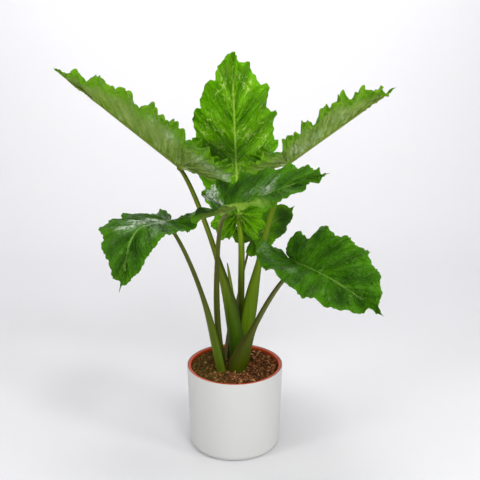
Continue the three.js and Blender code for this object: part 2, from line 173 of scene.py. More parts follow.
class Paint:
    # One material. node() adds any node: its settings first, then values or links for its sockets.

    def __init__(self, name):
        self.material = bpy.data.materials.new(name)
        self.material.use_nodes = True
        self.tree = self.material.node_tree
        self.tree.nodes.clear()

    def node(self, kind, settings=None, sockets=None, out=0):
        made = self.tree.nodes.new("ShaderNode" + kind)
        for key, value in (settings or {}).items():
            if key == "stops":
                for n, (place, colour) in enumerate(value):
                    stop = made.color_ramp.elements[n] if n < 2 else made.color_ramp.elements.new(place)
                    stop.position, stop.color = place, colour
            else:
                setattr(made, key, value)
        for key, value in (sockets or {}).items():
            if isinstance(value, Wire):
                self.tree.links.new(value.socket, made.inputs[key])
            else:
                made.inputs[key].default_value = value
        return Wire(self, made.outputs[out] if made.outputs else None)

    def blend(self, share, first, second):  # colours
        return self.node("Mix", {"data_type": "RGBA"}, {0: share, 6: first, 7: second}, out=2)

    def layered(self, base, *layers):  # colours laid over one another, each with its share
        for share, tone in layers:
            base = self.blend(share, base, tone)
        return base

    def ramp(self, value, low, high):  # 0 below low, 1 above high, an S between
        settings = {"interpolation_type": "SMOOTHSTEP"}
        return self.node("MapRange", settings, {0: value, 1: low, 2: high, 3: 0.0, 4: 1.0})

    def place(self):  # Object coordinates
        return self.node("TexCoord", out=3)

    def stretched(self, vector, scale):
        return self.node("Mapping", {}, {0: vector, 3: scale})

    def noise(self, vector, scale, detail=3.0, rough=0.5):
        sockets = {"Vector": vector, "Scale": scale, "Detail": detail, "Roughness": rough}
        return self.node("TexNoise", {}, sockets)

    def parts(self, name):  # the two numbers of a named map
        both = self.node("UVMap", {"uv_map": name})
        split = self.node("SeparateXYZ", {}, {0: both})
        return split, Wire(self, split.socket.node.outputs[1])

    def mark(self, name):
        return self.node("Attribute", {"attribute_name": name}, out=2)

    def bump(self, height, strength, distance):
        return self.node("Bump", {}, {"Height": height, "Strength": strength, "Distance": distance})

    def finish(self, sockets, through=0.0, throughColour=None):
        # The surface itself, with a share of light let through a thin leaf.
        surface = self.node("BsdfPrincipled", {}, sockets)
        if through:
            glow = self.node("BsdfTranslucent", {}, {0: throughColour, 1: sockets["Normal"]})
            surface = self.node("MixShader", {}, {0: through, 1: surface, 2: glow})
        self.node("OutputMaterial", {}, {0: surface})
        return self.material


def colour(red, green, blue):  # screen values 0 to 255, as linear light
    part = lambda v: v / 255 / 12.92 if v <= 10 else ((v / 255 + 0.055) / 1.055) ** 2.4
    return (part(red), part(green), part(blue), 1.0)


# Leaf finishes in screen colours. deep and bright: the stripes above, under and underDeep: those below.
# band, glint, ribShare, veinShare: how strongly stripes, thin pale lines, rib and veins show. shadeBelow:
# how strongly a spot of painted shade shows on the lower side. crinkle: bump. through: light let through
# the leaf.
bladeFinishes = {
    "young": {
        "deep": (72, 132, 0), "bright": (146, 212, 0), "vein": (140, 196, 40), "rib": (196, 236, 96),
        "margin": (122, 194, 0), "rim": (120, 150, 20), "glintTone": (206, 230, 130), "glow": (160, 225, 0),
        "under": (140, 168, 66), "underDeep": (90, 130, 20), "underVein": (180, 204, 112),
        "besideRib": (130, 160, 40), "band": 0.5, "glint": 0.85, "ribShare": 1.0, "veinShare": 0.4,
        "shadeBelow": 0.15, "gloss": 0.26, "crinkle": 0.8, "through": 0.16,
    },
    "grown": {
        "deep": (54, 104, 0), "bright": (110, 164, 0), "vein": (134, 176, 64), "rib": (140, 160, 70),
        "margin": (124, 182, 0), "rim": (112, 150, 30), "glintTone": (180, 205, 130), "glow": (140, 205, 0),
        "under": (176, 198, 116), "underDeep": (118, 154, 38), "underVein": (200, 214, 156),
        "besideRib": (112, 130, 34), "band": 0.6, "glint": 0.3, "ribShare": 0.8, "veinShare": 0.5,
        "shadeBelow": 0.92, "gloss": 0.28, "crinkle": 0.75, "through": 0.2,
    },
    "oldest": {
        "deep": (30, 74, 0), "bright": (86, 144, 0), "vein": (116, 152, 50), "rib": (136, 176, 82),
        "margin": (88, 148, 0), "rim": (112, 150, 30), "glintTone": (150, 180, 110), "glow": (120, 185, 0),
        "under": (140, 164, 66), "underDeep": (84, 116, 22), "underVein": (176, 196, 112),
        "besideRib": (110, 130, 40), "band": 0.5, "glint": 0.25, "ribShare": 0.8, "veinShare": 0.8,
        "shadeBelow": 0.92, "gloss": 0.28, "crinkle": 0.75, "through": 0.12,
    },
}
# Painted light: a sheen tone for painted sheen, a shadow green for painted shade, and lime for painted
# light shining through the blade
sheenTone, shadowGreen, lime = colour(232, 240, 226), colour(28, 60, 0), colour(150, 182, 66)

# Noise on the blades, by scale, or drawn out along the side veins by waves across one main vein's
# strip and waves out to the margin. edges: between which values it grows from 0 to 1.
bladePatterns = {
    "drift": {"scale": 18.0, "detail": 2.0},
    "cloud": {"scale": 14.0, "detail": 4.0, "edges": (0.3, 0.7)},
    "fine": {"scale": 210.0, "detail": 3.0},
    "group": {"scale": 24.0, "detail": 1.0, "edges": (0.46, 0.6)},
    "pucker": {"scale": 95.0, "detail": 2.0},
    "streak": {"across": 2.6, "out": 3.0, "detail": 3.0, "rough": 0.6, "edges": (0.36, 0.6)},
    "thread": {"across": 8.0, "out": 11.0, "detail": 2.0, "edges": (0.42, 0.54)},
    "band": {"across": 3.0, "out": 0.8, "detail": 2.0, "edges": (0.38, 0.6)},
    "wavy": {"across": 4.5, "out": 6.0, "detail": 1.5, "rough": 0.4},
    "crease": {"across": 6.0, "out": 7.0, "detail": 2.5},
    "wrinkle": {"across": 9.0, "out": 14.0, "detail": 2.0},
}

# Widths and distances from the rib in millimetres, places between rib 0 and margin 1, shares of colours
bladeLook = {
    "drift": 0.25, "mainWide": (1.5, 0.7), "sideWide": (0.6, 0.4), "sideVeins": 4, "lineEdges": (0.25, 1.0),
    "sideFrom": (0.1, 0.4), "ribEnds": (0.12, 0.35), "ribHalf": (1.4, 3.6), "ribUnder": 1.2,
    "besideHalf": (2.0, 8.0), "rimFrom": (0.985, 1.0), "marginFrom": (0.7, 1.0), "marginBelow": (0.5, 0.9),
    "betweenVeins": (0.03, 0.4), "betweenFrom": (0.08, 0.3), "glintHalf": (0.006, 0.03),
    "glintEnds": (0.75, 0.95), "sheenEdges": (0.05, 0.9), "limeEdges": (0.1, 0.9), "threads": 0.75,
    "cloudy": 0.7, "bandBelow": 0.65, "cloudMargin": 0.3,
}
bladeShares = {
    "margin": 0.5, "side": 0.25, "paintedShade": 0.75, "lime": 0.85, "rim": 0.6, "between": 0.5, "besideRib": 0.8,
    "marginBelow": 0.85, "sideBelow": 0.35, "mainBelow": 0.8, "sheenBelow": 0.7,
}
bladeBump = {"crease": 2.2, "wrinkle": 0.8, "pucker": 0.5, "main": -0.5, "side": -0.4}
bladeSurface = {"bumpDepth": 0.006, "roughBelow": 0.55, "cloudRough": 0.1, "specular": 0.24}


def bladeMaterial(name, finish, look=bladeLook, share=bladeShares):
    # Stripes, margin, veins, rib, spots of painted shade, lime spots of painted light shining through, and
    # painted sheen are laid over one another, apart for the upper and the lower side, and the mark under
    # picks one of the two.
    paint = Paint(name)
    tone = lambda key: colour(*finish[key])
    u, b = paint.parts("veins")  # u is a whole number on each main vein, b is 0 at the rib, 1 at the margin
    pitch, across = paint.parts("sizes")  # millimetres between main veins, and out from the rib
    under = paint.mark("under")
    sheen, pale = paint.mark("sheen"), paint.mark("pale")  # painted sheen, or below 0 painted shade; lime: painted light shining through
    spot = paint.place()

    def pattern(key):
        p = bladePatterns[key]
        drawnOut = "across" in p
        place = paint.node("CombineXYZ", {}, {0: u * p["across"], 1: b * p["out"]}) if drawnOut else spot
        made = paint.noise(place, p.get("scale", 1.0), p["detail"], p.get("rough", 0.5))
        return paint.ramp(made, *p["edges"]) if "edges" in p else made

    def fromWhole(value):  # distance to the nearest whole number
        return abs(paint.node("Math", {"operation": "FRACT"}, {0: value + 0.5}) - 0.5)

    drift = (pattern("drift") - 0.5) * look["drift"]

    def lineAt(count, wide):  # 1 on count lines to each main vein, wide by so much at rib and margin
        distance = fromWhole(u * count + drift * b) * pitch / count
        return 1 - paint.ramp(distance / mixed(*wide, b), *look["lineEdges"])

    main = lineAt(1, look["mainWide"])
    side = lineAt(look["sideVeins"], look["sideWide"]) * paint.ramp(b, *look["sideFrom"])
    inside = 1 - paint.ramp(b, *look["ribEnds"])  # keeps the rib's colours off the narrow lobe ends and tip
    ribFrom, ribTo = look["ribHalf"]
    rib = (1 - paint.ramp(abs(across), ribFrom, under * look["ribUnder"] + ribTo)) * inside
    besideRib = (1 - paint.ramp(abs(across), *look["besideHalf"])) * inside
    cloud = pattern("cloud")
    threads = mixed(1 - look["threads"], 1, pattern("thread"))
    # painted sheen: pale streaks and threads where the spots are above 0, standing for the pale sweep's
    # reflection
    paintedLight = paint.ramp(sheen, *look["sheenEdges"]) * pattern("streak") * threads
    between = paint.ramp(fromWhole(u), *look["betweenVeins"])  # painted light: brighter midway between two main veins, on the swelling there
    # stripes along the veins: the leaf's own tone, with painted shade of the pleats between the veins
    band = mixed(pattern("band"), between, paint.ramp(b, *look["betweenFrom"]) * share["between"])

    # glints: thin wavy lines where drawn-out noise crosses its middle, in loose groups
    glint = 1 - paint.ramp(abs(pattern("wavy") - 0.5), *look["glintHalf"])
    glint = glint * pattern("group") * finish["glint"] * (1 - paint.ramp(b, *look["glintEnds"]))

    mottle = mixed(pattern("fine"), cloud, look["cloudy"])
    # painted shade: shadow green where the spots are below 0
    paintedShade = paint.ramp(0 - sheen, 0.0, 1.0)
    # lime spots: painted light shining through the thin blade, and painted sheen
    glowSpot = paint.ramp(pale, *look["limeEdges"]) * share["lime"]
    # greener towards the margin below: the margin's own green, with painted light shining through the thin
    # margin
    marginBelow = paint.ramp(b + (cloud - 0.5) * look["cloudMargin"], *look["marginBelow"])
    upper = paint.layered(
        tone("deep"),
        (mixed(mottle, band, finish["band"]), tone("bright")),
        (paint.ramp(b, *look["marginFrom"]) * share["margin"], tone("margin")),
        (side * share["side"], tone("vein")),
        (main * finish["veinShare"], tone("vein")),
        (glint, tone("glintTone")),
        (rib * finish["ribShare"], tone("rib")),
        (paintedShade * share["paintedShade"], shadowGreen),
        (glowSpot, lime),
        (paintedLight, sheenTone),
    )
    lower = paint.layered(
        tone("underDeep"),
        (mixed(cloud, band, look["bandBelow"]), tone("under")),
        (marginBelow * share["marginBelow"], tone("margin")),
        (besideRib * share["besideRib"], tone("besideRib")),
        (side * share["sideBelow"], tone("underVein")),
        (main * share["mainBelow"], tone("underVein")),
        (paintedShade * finish["shadeBelow"], shadowGreen),
        (glowSpot, lime),
        (paintedLight * share["sheenBelow"], sheenTone),
        (rib, tone("rib")),
    )
    rim = paint.ramp(b, *look["rimFrom"]) * share["rim"]
    both = paint.layered(upper, (under, lower), (rim, tone("rim")))

    # wrinkles run out with the side veins: noise drawn out along b, creased where it crosses its middle
    raised = {"main": main, "side": side, "crease": abs(pattern("crease") - 0.5)}
    raised |= {key: pattern(key) for key in ("wrinkle", "pucker")}
    height = sum(raised[key] * weight for key, weight in bladeBump.items())
    normal = paint.bump(height, finish["crinkle"], bladeSurface["bumpDepth"])
    above = cloud * bladeSurface["cloudRough"] + finish["gloss"]
    rough = paint.node("Mix", {}, {0: under, 2: above, 3: bladeSurface["roughBelow"]})
    sockets = {"Base Color": both, "Roughness": rough, "Normal": normal}
    sockets["Specular IOR Level"] = bladeSurface["specular"]
    return paint.finish(sockets, finish["through"], tone("glow"))


bladeMaterials = {key: bladeMaterial("blade_" + key, finish) for key, finish in bladeFinishes.items()}

# Half outline of a leaf in leaf lengths, from the notch round the lobe to the drip tip: side, forward
outline = [
    (0.012, -0.035), (0.055, -0.15), (0.16, -0.245), (0.275, -0.2), (0.335, -0.06), (0.35, 0.12),
    (0.35, 0.29), (0.33, 0.46), (0.285, 0.63), (0.21, 0.785), (0.1, 0.92), (0.014, 0.995), (0, 1.06),
]

# Thicknesses, depths and widths in millimetres, pairs of widths at the rib and at the margin. What ends
# in Over is a stretch over which something grows, as a share of its line.
leafShape = {
    "thick": 1.2, "thickAtRim": 0.6, "ribDepth": 5, "ribSpread": 5.5, "ribEnds": (0.12, 0.23),
    "grooveDepth": 0.5, "grooveWidth": 2.2, "veinDepth": 0.9, "veinWide": (2.4, 1.1),
    "sideVeins": 4, "sideVeinDepth": 0.4, "sideVeinWide": (1.2, 0.9), "sideVeinOver": 0.35,
    "fadeAtRib": 0.12, "fadeAtTip": 0.05, "pucker": 1.5, "puckerSize": 34, "pleat": 0.7, "besideVein": 5,
    "lobeShare": 0.4, "threadFrom": 0.995, "pinchFrom": 0.1, "pinchOver": 0.95, "shutFrom": 0.05,
    "shutOver": 0.15, "notchOver": 0.06, "tipOver": 0.1, "lobeOver": 0.25, "forwardOver": 0.9,
    "curlOver": 0.33, "rootEnd": 0.97, "rootPower": 1.15, "veinLead": 0.9, "quilt": 0.012,
    "saw": (1, 0.4, 0.12), "sawHeight": -0.62, "beat": 0.18, "ruffles": (0.8, 0.45, 0.25),
    "fineTeeth": 0.018, "fineWave": 0.007, "frillWave": 0.2, "frillTurns": 1.15,
    "stepsPerScallop": 28, "rows": 42, "rowPower": 1.25,
}

# at: where the stem meets the leaf. az, pitch, roll: how the midrib leaves it. droop, bend, sweep: its
# bow. fold: how far each half stands up from it at lobe, base and tip. curl: and turns down again.
# sinus: draws the lobes' inner edges together. thread: the drip tip's length. round: round scallops
# against saw-like ones. frill: round lumps on the margin. relief: strength of the swelling.
# bloom, lime: spots of painted sheen, the pale sweep's reflection, or below 0 of painted shade, and of
# lime, painted light shining through the thin blade and painted sheen: place, size, strength.
leaves = {
    "a": {
        "at": (10, 90, 609), "length": 408, "wide": (0.96, 0.98), "pinch": (0.45, 0.45), "lobe": 0.72,
        "az": 108, "pitch": 80, "droop": -5, "lobeDroop": 30, "foldL": (-25, -30, 20), "foldR": (-15, 5, 2),
        "curlL": (0, 10, 10), "curlR": (0, 20, 10), "thread": 0.2, "scallops": 11, "scallop": 0.1,
        "round": 0.2, "ruffle": 0.03, "phaseL": 2.66, "phaseR": 4.1, "finish": "young", "rib": 9,
        "veins": 0.5, "relief": 1.9,
        "paintedLight": ((-70, 100, 765, 42, -0.7), (-25, 110, 765, 45, -0.5), (10, 115, 745, 40, -0.4)),
        "lime": ((-25, 125, 970, 24, 0.5), (60, 120, 905, 40, 0.3)),
    },
    "b": {
        "at": (-130, -12, 757), "length": 356, "wide": (0.95, 0.92), "lobe": 1.5, "seat": 4,
        "az": 178, "pitch": 38, "roll": 5, "lobeDroop": -60, "foldL": (42, 46, 44), "foldR": (35, 36, 33),
        "curlL": (10, 12, 12), "curlR": (10, 12, 12), "scallops": 10, "scallop": 0.09, "ruffle": 0.03,
        "frill": 0.05, "phaseL": 3.2, "phaseR": 2.2, "finish": "grown", "rib": 8.5, "relief": 2.4,
        "paintedLight": ((-190, -75, 875, 24, 0.5), (-150, -60, 835, 24, 0.6), (-95, -85, 810, 26, 0.5),
                  (-45, -55, 750, 24, 0.4), (-75, -60, 775, 30, 0.5), (-20, -60, 740, 26, 0.6)),
        "lime": ((-295, -15, 900, 26, 0.5), (-320, -20, 915, 24, 0.5), (-265, -45, 905, 22, 0.4)),
    },
    "c": {
        "at": (130, 0, 763), "length": 296, "wide": (0.98, 0.98), "lobe": 1.6,
        "az": 2, "pitch": 35, "roll": -5, "lobeDroop": -90, "foldL": (34, 22, 44), "foldR": (32, 36, 54),
        "curlL": (10, 12, 12), "curlR": (10, 10, 12), "scallops": 11, "scallop": 0.1, "ruffle": 0.035,
        "frill": 0.06, "phaseL": 2.6, "phaseR": 2.6, "finish": "grown", "rib": 7.5, "relief": 2.4,
        "paintedLight": ((155, -15, 795, 26, 0.9), (200, -15, 835, 26, 0.5), (250, -15, 880, 24, 0.6),
                  (320, -10, 925, 26, -0.35), (95, -85, 800, 22, -0.7)),
    },
    "d": {
        "at": (-21, -152, 678), "length": 292, "wide": (0.9, 0.9), "lobe": 0.72,
        "az": -40, "pitch": 29, "roll": 18, "droop": 8, "lobeDroop": -100, "foldL": (92, 32, 18),
        "foldR": (20, 34, -8), "curlL": (10, 10, 20), "curlR": (20, 10, 10), "scallops": 9,
        "scallop": 0.07, "ruffle": 0.024, "phaseL": 0.7, "phaseR": 2.6, "finish": "oldest", "relief": 1.5,
        "paintedLight": ((-50, -110, 715, 20, 1.1), (-55, -105, 735, 15, 1), (-65, -120, 700, 12, 1),
                  (-30, -125, 695, 13, 0.8), (35, -170, 730, 26, 0.5), (70, -215, 745, 26, 0.5),
                  (85, -200, 765, 24, 0.4), (-5, -120, 720, 24, -0.9), (-30, -90, 730, 20, -1),
                  (40, -135, 750, 30, -0.7), (-85, -215, 700, 24, -1), (-60, -210, 695, 26, -1.2),
                  (-50, -250, 715, 18, -1.2), (-40, -240, 715, 18, -1)),
        "lime": ((-10, -280, 720, 14, 0.9), (0, -290, 725, 22, 0.6), (5, -280, 730, 26, 0.6),
                 (35, -280, 730, 28, 0.7), (65, -300, 740, 20, 0.4)),
    },
    "e": {
        "at": (-161, -52, 628), "length": 276, "wide": (0.72, 1.1), "lobe": 1.15,
        "az": 246, "pitch": 10, "droop": 12, "bend": 85, "bendAt": 0.54, "sweep": 14, "lobeDroop": -70,
        "foldL": (20, -8, 0), "foldR": (2, 9, -4), "curlL": (20, 10, 10), "curlR": (10, 10, 10),
        "scallops": 9, "scallop": 0.07, "ruffle": 0.012, "phaseL": 0, "phaseR": 1.4, "finish": "oldest",
        "relief": 1.7,
        "paintedLight": ((-250, -145, 645, 24, 0.9), (-220, -110, 640, 28, 1), (-185, -80, 635, 26, 1),
                  (-160, -30, 630, 24, 0.6), (-110, -15, 635, 20, 0.4), (-180, -165, 635, 20, 0.3),
                  (-190, -190, 635, 16, 0.3), (-280, -175, 610, 18, 0.2)),
    },
    "f": {
        "at": (156, -90, 531), "length": 305, "wide": (1, 1), "lobe": 1.35, "sinus": 0.95, "seat": 3.4,
        "az": -60, "pitch": 4, "droop": 15, "lobeDroop": -125, "foldL": (24, 58, 40),
        "foldR": (24, 12, -10), "curlL": (10, 10, 10), "curlR": (10, 10, 10), "scallops": 9,
        "scallop": 0.07, "ruffle": 0.025, "phaseL": 1.6, "phaseR": 0.5, "finish": "oldest", "relief": 1.9,
        "paintedLight": ((50, -95, 570, 22, 0.3), (75, -70, 575, 24, 0.28), (95, -100, 555, 26, 0.32),
                  (130, -170, 540, 24, 0.28)),
    },
    "g": {
        "at": (46, 140, 520), "length": 160, "wide": (1, 0.78), "lobe": 1,
        "az": 35, "pitch": 28, "roll": 45, "droop": 10, "lobeDroop": 20, "foldL": (15, 15, 15),
        "foldR": (15, 15, 15), "curlL": (10, 20, 20), "curlR": (10, 30, 20), "scallops": 6, "scallop": 0.1,
        "ruffle": 0.03, "phaseL": 0.2, "phaseR": 1.1, "finish": "grown",
        "paintedLight": ((135, 205, 570, 26, -0.9), (150, 185, 550, 24, -0.9), (125, 155, 535, 24, -0.9)),
    },
}


def midrib(leaf, y):
    # Point and directions of the midrib at y leaf lengths from the stem's end. It starts level with az
    # and turned up by pitch, each short step turns down by droop and bend and sideways by sweep, and
    # the steps are summed both ways from the stem's end, where lobes follow lobeDroop.
    az, pitch, roll = (math.radians(leaf.get(key, 0)) for key in ("az", "pitch", "roll"))
    heading = np.array([math.cos(pitch) * math.cos(az), math.cos(pitch) * math.sin(az), math.sin(pitch)])
    lift = np.array([-math.sin(pitch) * math.cos(az), -math.sin(pitch) * math.sin(az), math.cos(pitch)])
    up = lift * math.cos(roll) + np.cross(heading, lift) * math.sin(roll)
    right = np.cross(heading, up)
    step, first, last, bendOver = 0.01, -60, 115, 0.4
    walk = np.arange(first, last + 1) * step
    bentAt = lambda place: smooth((place - leaf.get("bendAt", 0.4)) / bendOver + 0.5)
    forward = leaf.get("droop", 0) * walk + leaf.get("bend", 0) * (bentAt(walk) - bentAt(0))
    down = np.radians(np.where(walk > 0, forward, leaf["lobeDroop"] * walk))[:, None]
    side = np.radians(np.where(walk > 0, leaf.get("sweep", 0) * walk, 0))[:, None]
    tangent = (heading * np.cos(down) - up * np.sin(down)) * np.cos(side) + right * np.sin(side)
    normal = heading * np.sin(down) + up * np.cos(down)
    half = (tangent[1:] + tangent[:-1]) / 2 * step
    point = np.vstack([np.zeros(3), np.cumsum(half, 0)])
    point -= point[-first]
    pick = lambda table: np.stack([np.interp(y, walk, table[:, n]) for n in range(3)], -1)
    t = unit(pick(tangent))
    n = pick(normal)
    n = unit(n - t * (n * t).sum(-1, keepdims=True))
    return pick(point) * leaf["length"] + np.array(leaf["at"], float), n, np.cross(t, n)


def roundBumps(x):  # the size of a cosine, set about 0: round tops with sharp notches between them
    return 1.3 * np.abs(np.cos(x)) - 0.85


def bladeHalf(leaf, side, t, b, shape=leafShape):
    # Middle surface of one half, side +1 right or -1 left. t runs along the margin from notch to tip
    # and b from the rib out to it. Flat place: the outline's point at t drawn in to the rib by b, with
    # the scallops, saw-like or round, their fine teeth and the frill's lumps let out towards the margin.
    # Then it is laid on an arc that starts at the fold's angle and turns down by curl, and lifted by the
    # margin's waves and the swelling between the veins. Also gives the place on the flat leaf and the
    # count of main veins up to it.
    length = leaf["length"]
    half = 1 if side > 0 else 0
    phase, fold, curl = (leaf[key + "LR"[half]] for key in ("phase", "fold", "curl"))
    edge = throughPoints(outline, t)
    mx, my = edge[..., 0], edge[..., 1]
    thread = np.maximum(my - shape["threadFrom"], 0) * leaf.get("thread", 1)
    edgeY = np.where(my < 0, my * leaf["lobe"], np.minimum(my, shape["threadFrom"]) + thread)
    wave = 2 * np.pi * leaf["scallops"] * t + phase
    veinWave = wave + shape["veinLead"]
    held = smooth(t / shape["notchOver"]) * smooth((1 - t) / shape["tipOver"])
    seed = int(10 * phase + 3 * side + length)

    saw = shape["sawHeight"] * sum(share * np.sin((n + 1) * wave) for n, share in enumerate(shape["saw"]))
    teeth = shape["beat"] * np.cos(0.5 * wave + 1.3)
    teeth = teeth + mixed(saw, roundBumps((wave + 1.1) / 2), leaf.get("round", 0.8))
    ragged = softNoise(t * leaf["scallops"] * 7, t * 0, seed) + 0.6 * np.sin(5 * wave + 4 * t)
    frill = leaf.get("frill", 0)
    lumps = roundBumps(shape["frillTurns"] * wave + 1.5 * softNoise(t * 9, t * 0, seed + 2))
    fine = shape["fineTeeth"] * ragged * b**8 + frill * lumps * b**5
    reach = b * (1 + leaf["scallop"] * held * teeth * b**3 + held * fine)

    fromLobe = np.maximum(t - shape["lobeShare"], 0) / (1 - shape["lobeShare"])
    rootY = shape["rootEnd"] * fromLobe ** shape["rootPower"]
    pinch = leaf.get("pinch", (0, 0))[half] * (1 - smooth((my + shape["pinchFrom"]) / shape["pinchOver"]))
    shut = leaf.get("sinus", 0) * (1 - smooth((t - shape["shutFrom"]) / shape["shutOver"]))
    x = mx * leaf["wide"][half] * (1 - pinch) * (1 - shut) * reach
    y = rootY + (edgeY - rootY) * reach

    point, normal, across = midrib(leaf, y)
    behind, ahead = smooth(-y / shape["lobeOver"]), smooth(y / shape["forwardOver"])
    along = lambda v: np.radians(np.where(y < 0, mixed(v[1], v[0], behind), mixed(v[1], v[2], ahead)))
    start, rate = along(fold), along(curl) / shape["curlOver"]
    rate = np.where(np.abs(rate) < 1e-3, 1e-3, rate)
    slope = start - rate * x
    out = (np.sin(start) - np.sin(slope)) / rate
    up = (np.cos(slope) - np.cos(start)) / rate
    quick, slow, late = shape["ruffles"]
    waves = quick * np.cos(wave + 0.4) + slow * np.sin(0.5 * wave + 0.9 + phase) + late * np.cos(1.5 * wave)
    swell = shape["quilt"] * held * np.cos(veinWave) * np.sin(np.pi * b)
    fineWave = (shape["fineWave"] + shape["frillWave"] * frill) * held * b**4
    fineWave = fineWave * np.sin(2.6 * wave + 3 * softNoise(t * 20, b * 2, seed + 1))
    rise = leaf["ruffle"] * held * b**2.2 * waves - swell + fineWave
    lateral = side * length * (out - np.sin(slope) * rise)
    height = length * (up + np.cos(slope) * rise)
    place = point + across * lateral[..., None] + normal * height[..., None]
    return place, x * length, y, veinWave / (2 * np.pi)


def bladePiece(key, leaf, shape=leafShape):
    # The leaf as one closed sheet: both halves' middle surfaces welded along the rib, then each face
    # moved off it along the surface's own normal by half the thickness, with veins sunk into the upper
    # face and standing out of the lower one, and the two joined round the margin.
    steps, rows = leaf["scallops"] * shape["stepsPerScallop"], shape["rows"]
    fan = int(shape["lobeShare"] * steps)
    outwards = (np.arange(rows + 1) / rows) ** shape["rowPower"]
    t, b = np.meshgrid(np.arange(steps + 1) / steps, outwards, indexing="ij")
    t[: fan + 1, 0] = 0  # the lobes' veins all start at the stem's end
    place, x, y, u = (np.stack(v) for v in zip(*(bladeHalf(leaf, side, t, b) for side in (-1, 1))))
    u[:, : fan + 1, 0] = u[:, : fan + 1, 1]
    ids = np.arange(place[..., 0].size).reshape(x.shape)
    ids[:, : fan + 1, 0] = ids[0, 0, 0]
    ids[1, :, 0] = ids[0, :, 0]
    ids[1, steps, :] = ids[0, steps, :]

    cell = np.arange(ids.size).reshape(ids.shape)
    corner = [cell[:, :-1, :-1], cell[:, 1:, :-1], cell[:, 1:, 1:], cell[:, :-1, 1:]]
    left = np.stack([c[0] for c in corner], -1)
    right = np.stack([c[1] for c in corner], -1)[..., ::-1]
    quads = np.concatenate([left.reshape(-1, 4), right.reshape(-1, 4)])
    faces = np.concatenate([quads[:, [0, 1, 2]], quads[:, [0, 2, 3]]])
    flatIds = ids.ravel()
    real = flatIds[faces]
    whole = (real[:, 0] != real[:, 1]) & (real[:, 1] != real[:, 2]) & (real[:, 2] != real[:, 0])
    faces, real = faces[whole], real[whole]

    points = place.reshape(-1, 3)
    facing = np.cross(points[real[:, 1]] - points[real[:, 0]], points[real[:, 2]] - points[real[:, 0]])
    normals = np.zeros_like(points)
    for n in range(3):
        np.add.at(normals, real[:, n], facing)
    normals = unit(normals)

    # relief: main and side veins by their distance, pleats and puckers between them, the rib's keel below
    bell = lambda v: np.exp(-(v**2))
    fromWhole = lambda v: np.abs(v + 0.5 - np.floor(v + 0.5) - 0.5)
    pitch = np.linalg.norm(np.gradient(place, axis=1), axis=-1) / np.maximum(np.gradient(u, axis=1), 1e-6)
    pitch[:, :, 0] = pitch[:, :, 1]  # millimetres between main veins, along the surface
    bb = np.broadcast_to(b, x.shape)
    perVein = shape["sideVeins"]
    off, offSide = fromWhole(u) * pitch, fromWhole(u * perVein) * pitch / perVein
    fade = smooth(bb / shape["fadeAtRib"]) * smooth((1 - t) / shape["fadeAtTip"])
    veins = bell(off / mixed(*shape["veinWide"], bb)) * fade * mixed(1, 0.5, bb)
    small = bell(offSide / mixed(*shape["sideVeinWide"], bb)) * fade
    small = small * smooth(bb / shape["sideVeinOver"]) * smooth(pitch / 16 - 0.6)
    pucker = softNoise(u * 5, bb * leaf["length"] / shape["puckerSize"], 5) * smooth(pitch / 20 - 0.3)
    pleat = np.cos(2 * np.pi * (perVein * u + 0.6 * softNoise(u * 3, bb * 6, 9))) * smooth(pitch / 16 - 0.5)
    bulge = leaf.get("relief", 1) * (shape["pucker"] * pucker + shape["pleat"] * pleat) * fade
    bulge = bulge * np.minimum(off / shape["besideVein"], 1) * (1 - 0.5 * bb)
    thick = mixed(shape["thick"], shape["thickAtRim"], bb**5) / 2
    along = np.clip(y, 0, 1)
    ribEnd, ribOver = shape["ribEnds"]
    inside = 1 - smooth((bb - ribEnd) / ribOver)
    rib = leaf.get("rib", shape["ribDepth"]) * bell(x / shape["ribSpread"]) * (1 - 0.75 * along) * inside
    groove = shape["grooveDepth"] * bell(x / shape["grooveWidth"]) * (1 - 0.85 * along) * inside
    sunk = (shape["veinDepth"] * veins + shape["sideVeinDepth"] * small) * leaf.get("veins", 1)
    upper = (thick + bulge - sunk - groove).ravel()[:, None]
    lower = (thick - bulge + sunk * 0.9 + rib).ravel()[:, None]
    both = np.concatenate([points + normals * upper, points - normals * lower])

    count = len(points)
    chain = lambda line: np.stack([line[:-1], line[1:]], -1)
    margin = (cell[0, ::-1, rows], cell[0, 0, ::-1], cell[1, :, rows], cell[1, 0, :])
    p, q = np.concatenate([chain(line) for line in margin]).T
    rim = np.concatenate([np.stack([q, p, p + count], -1), np.stack([q, p + count, q + count], -1)])
    cells = np.concatenate([faces, faces[:, ::-1] + count, rim])
    used, welded = np.unique(np.concatenate([flatIds, flatIds + count])[cells], return_inverse=True)

    def spots(table):  # each spot fades out from its place as exp(-(distance / size) squared)
        total = np.zeros(count)
        for px, py, pz, size, strength in table:
            total += strength * np.exp(-(((points - (px, py, pz)) ** 2).sum(-1)) / size**2)
        return total[used % count]

    source = cells.ravel() % count
    corners = {
        "veins": np.stack([u.ravel()[source], bb.ravel()[source]], -1),
        "sizes": np.stack([pitch.ravel()[source], x.ravel()[source]], -1),
    }
    marks = {
        "under": (used >= count).astype(float),
        "sheen": spots(leaf.get("paintedLight", ())),
        "pale": spots(leaf.get("lime", ())),
    }
    material = bladeMaterials[leaf["finish"]]
    replaced = ("blade_" + key,)
    meshPiece("leaf_" + key, both[used], welded.reshape(-1, 3), material, replaced, corners, marks)


for key, leaf in leaves.items():
    bladePiece(key, leaf)
print("leaves made:", len(leaves))


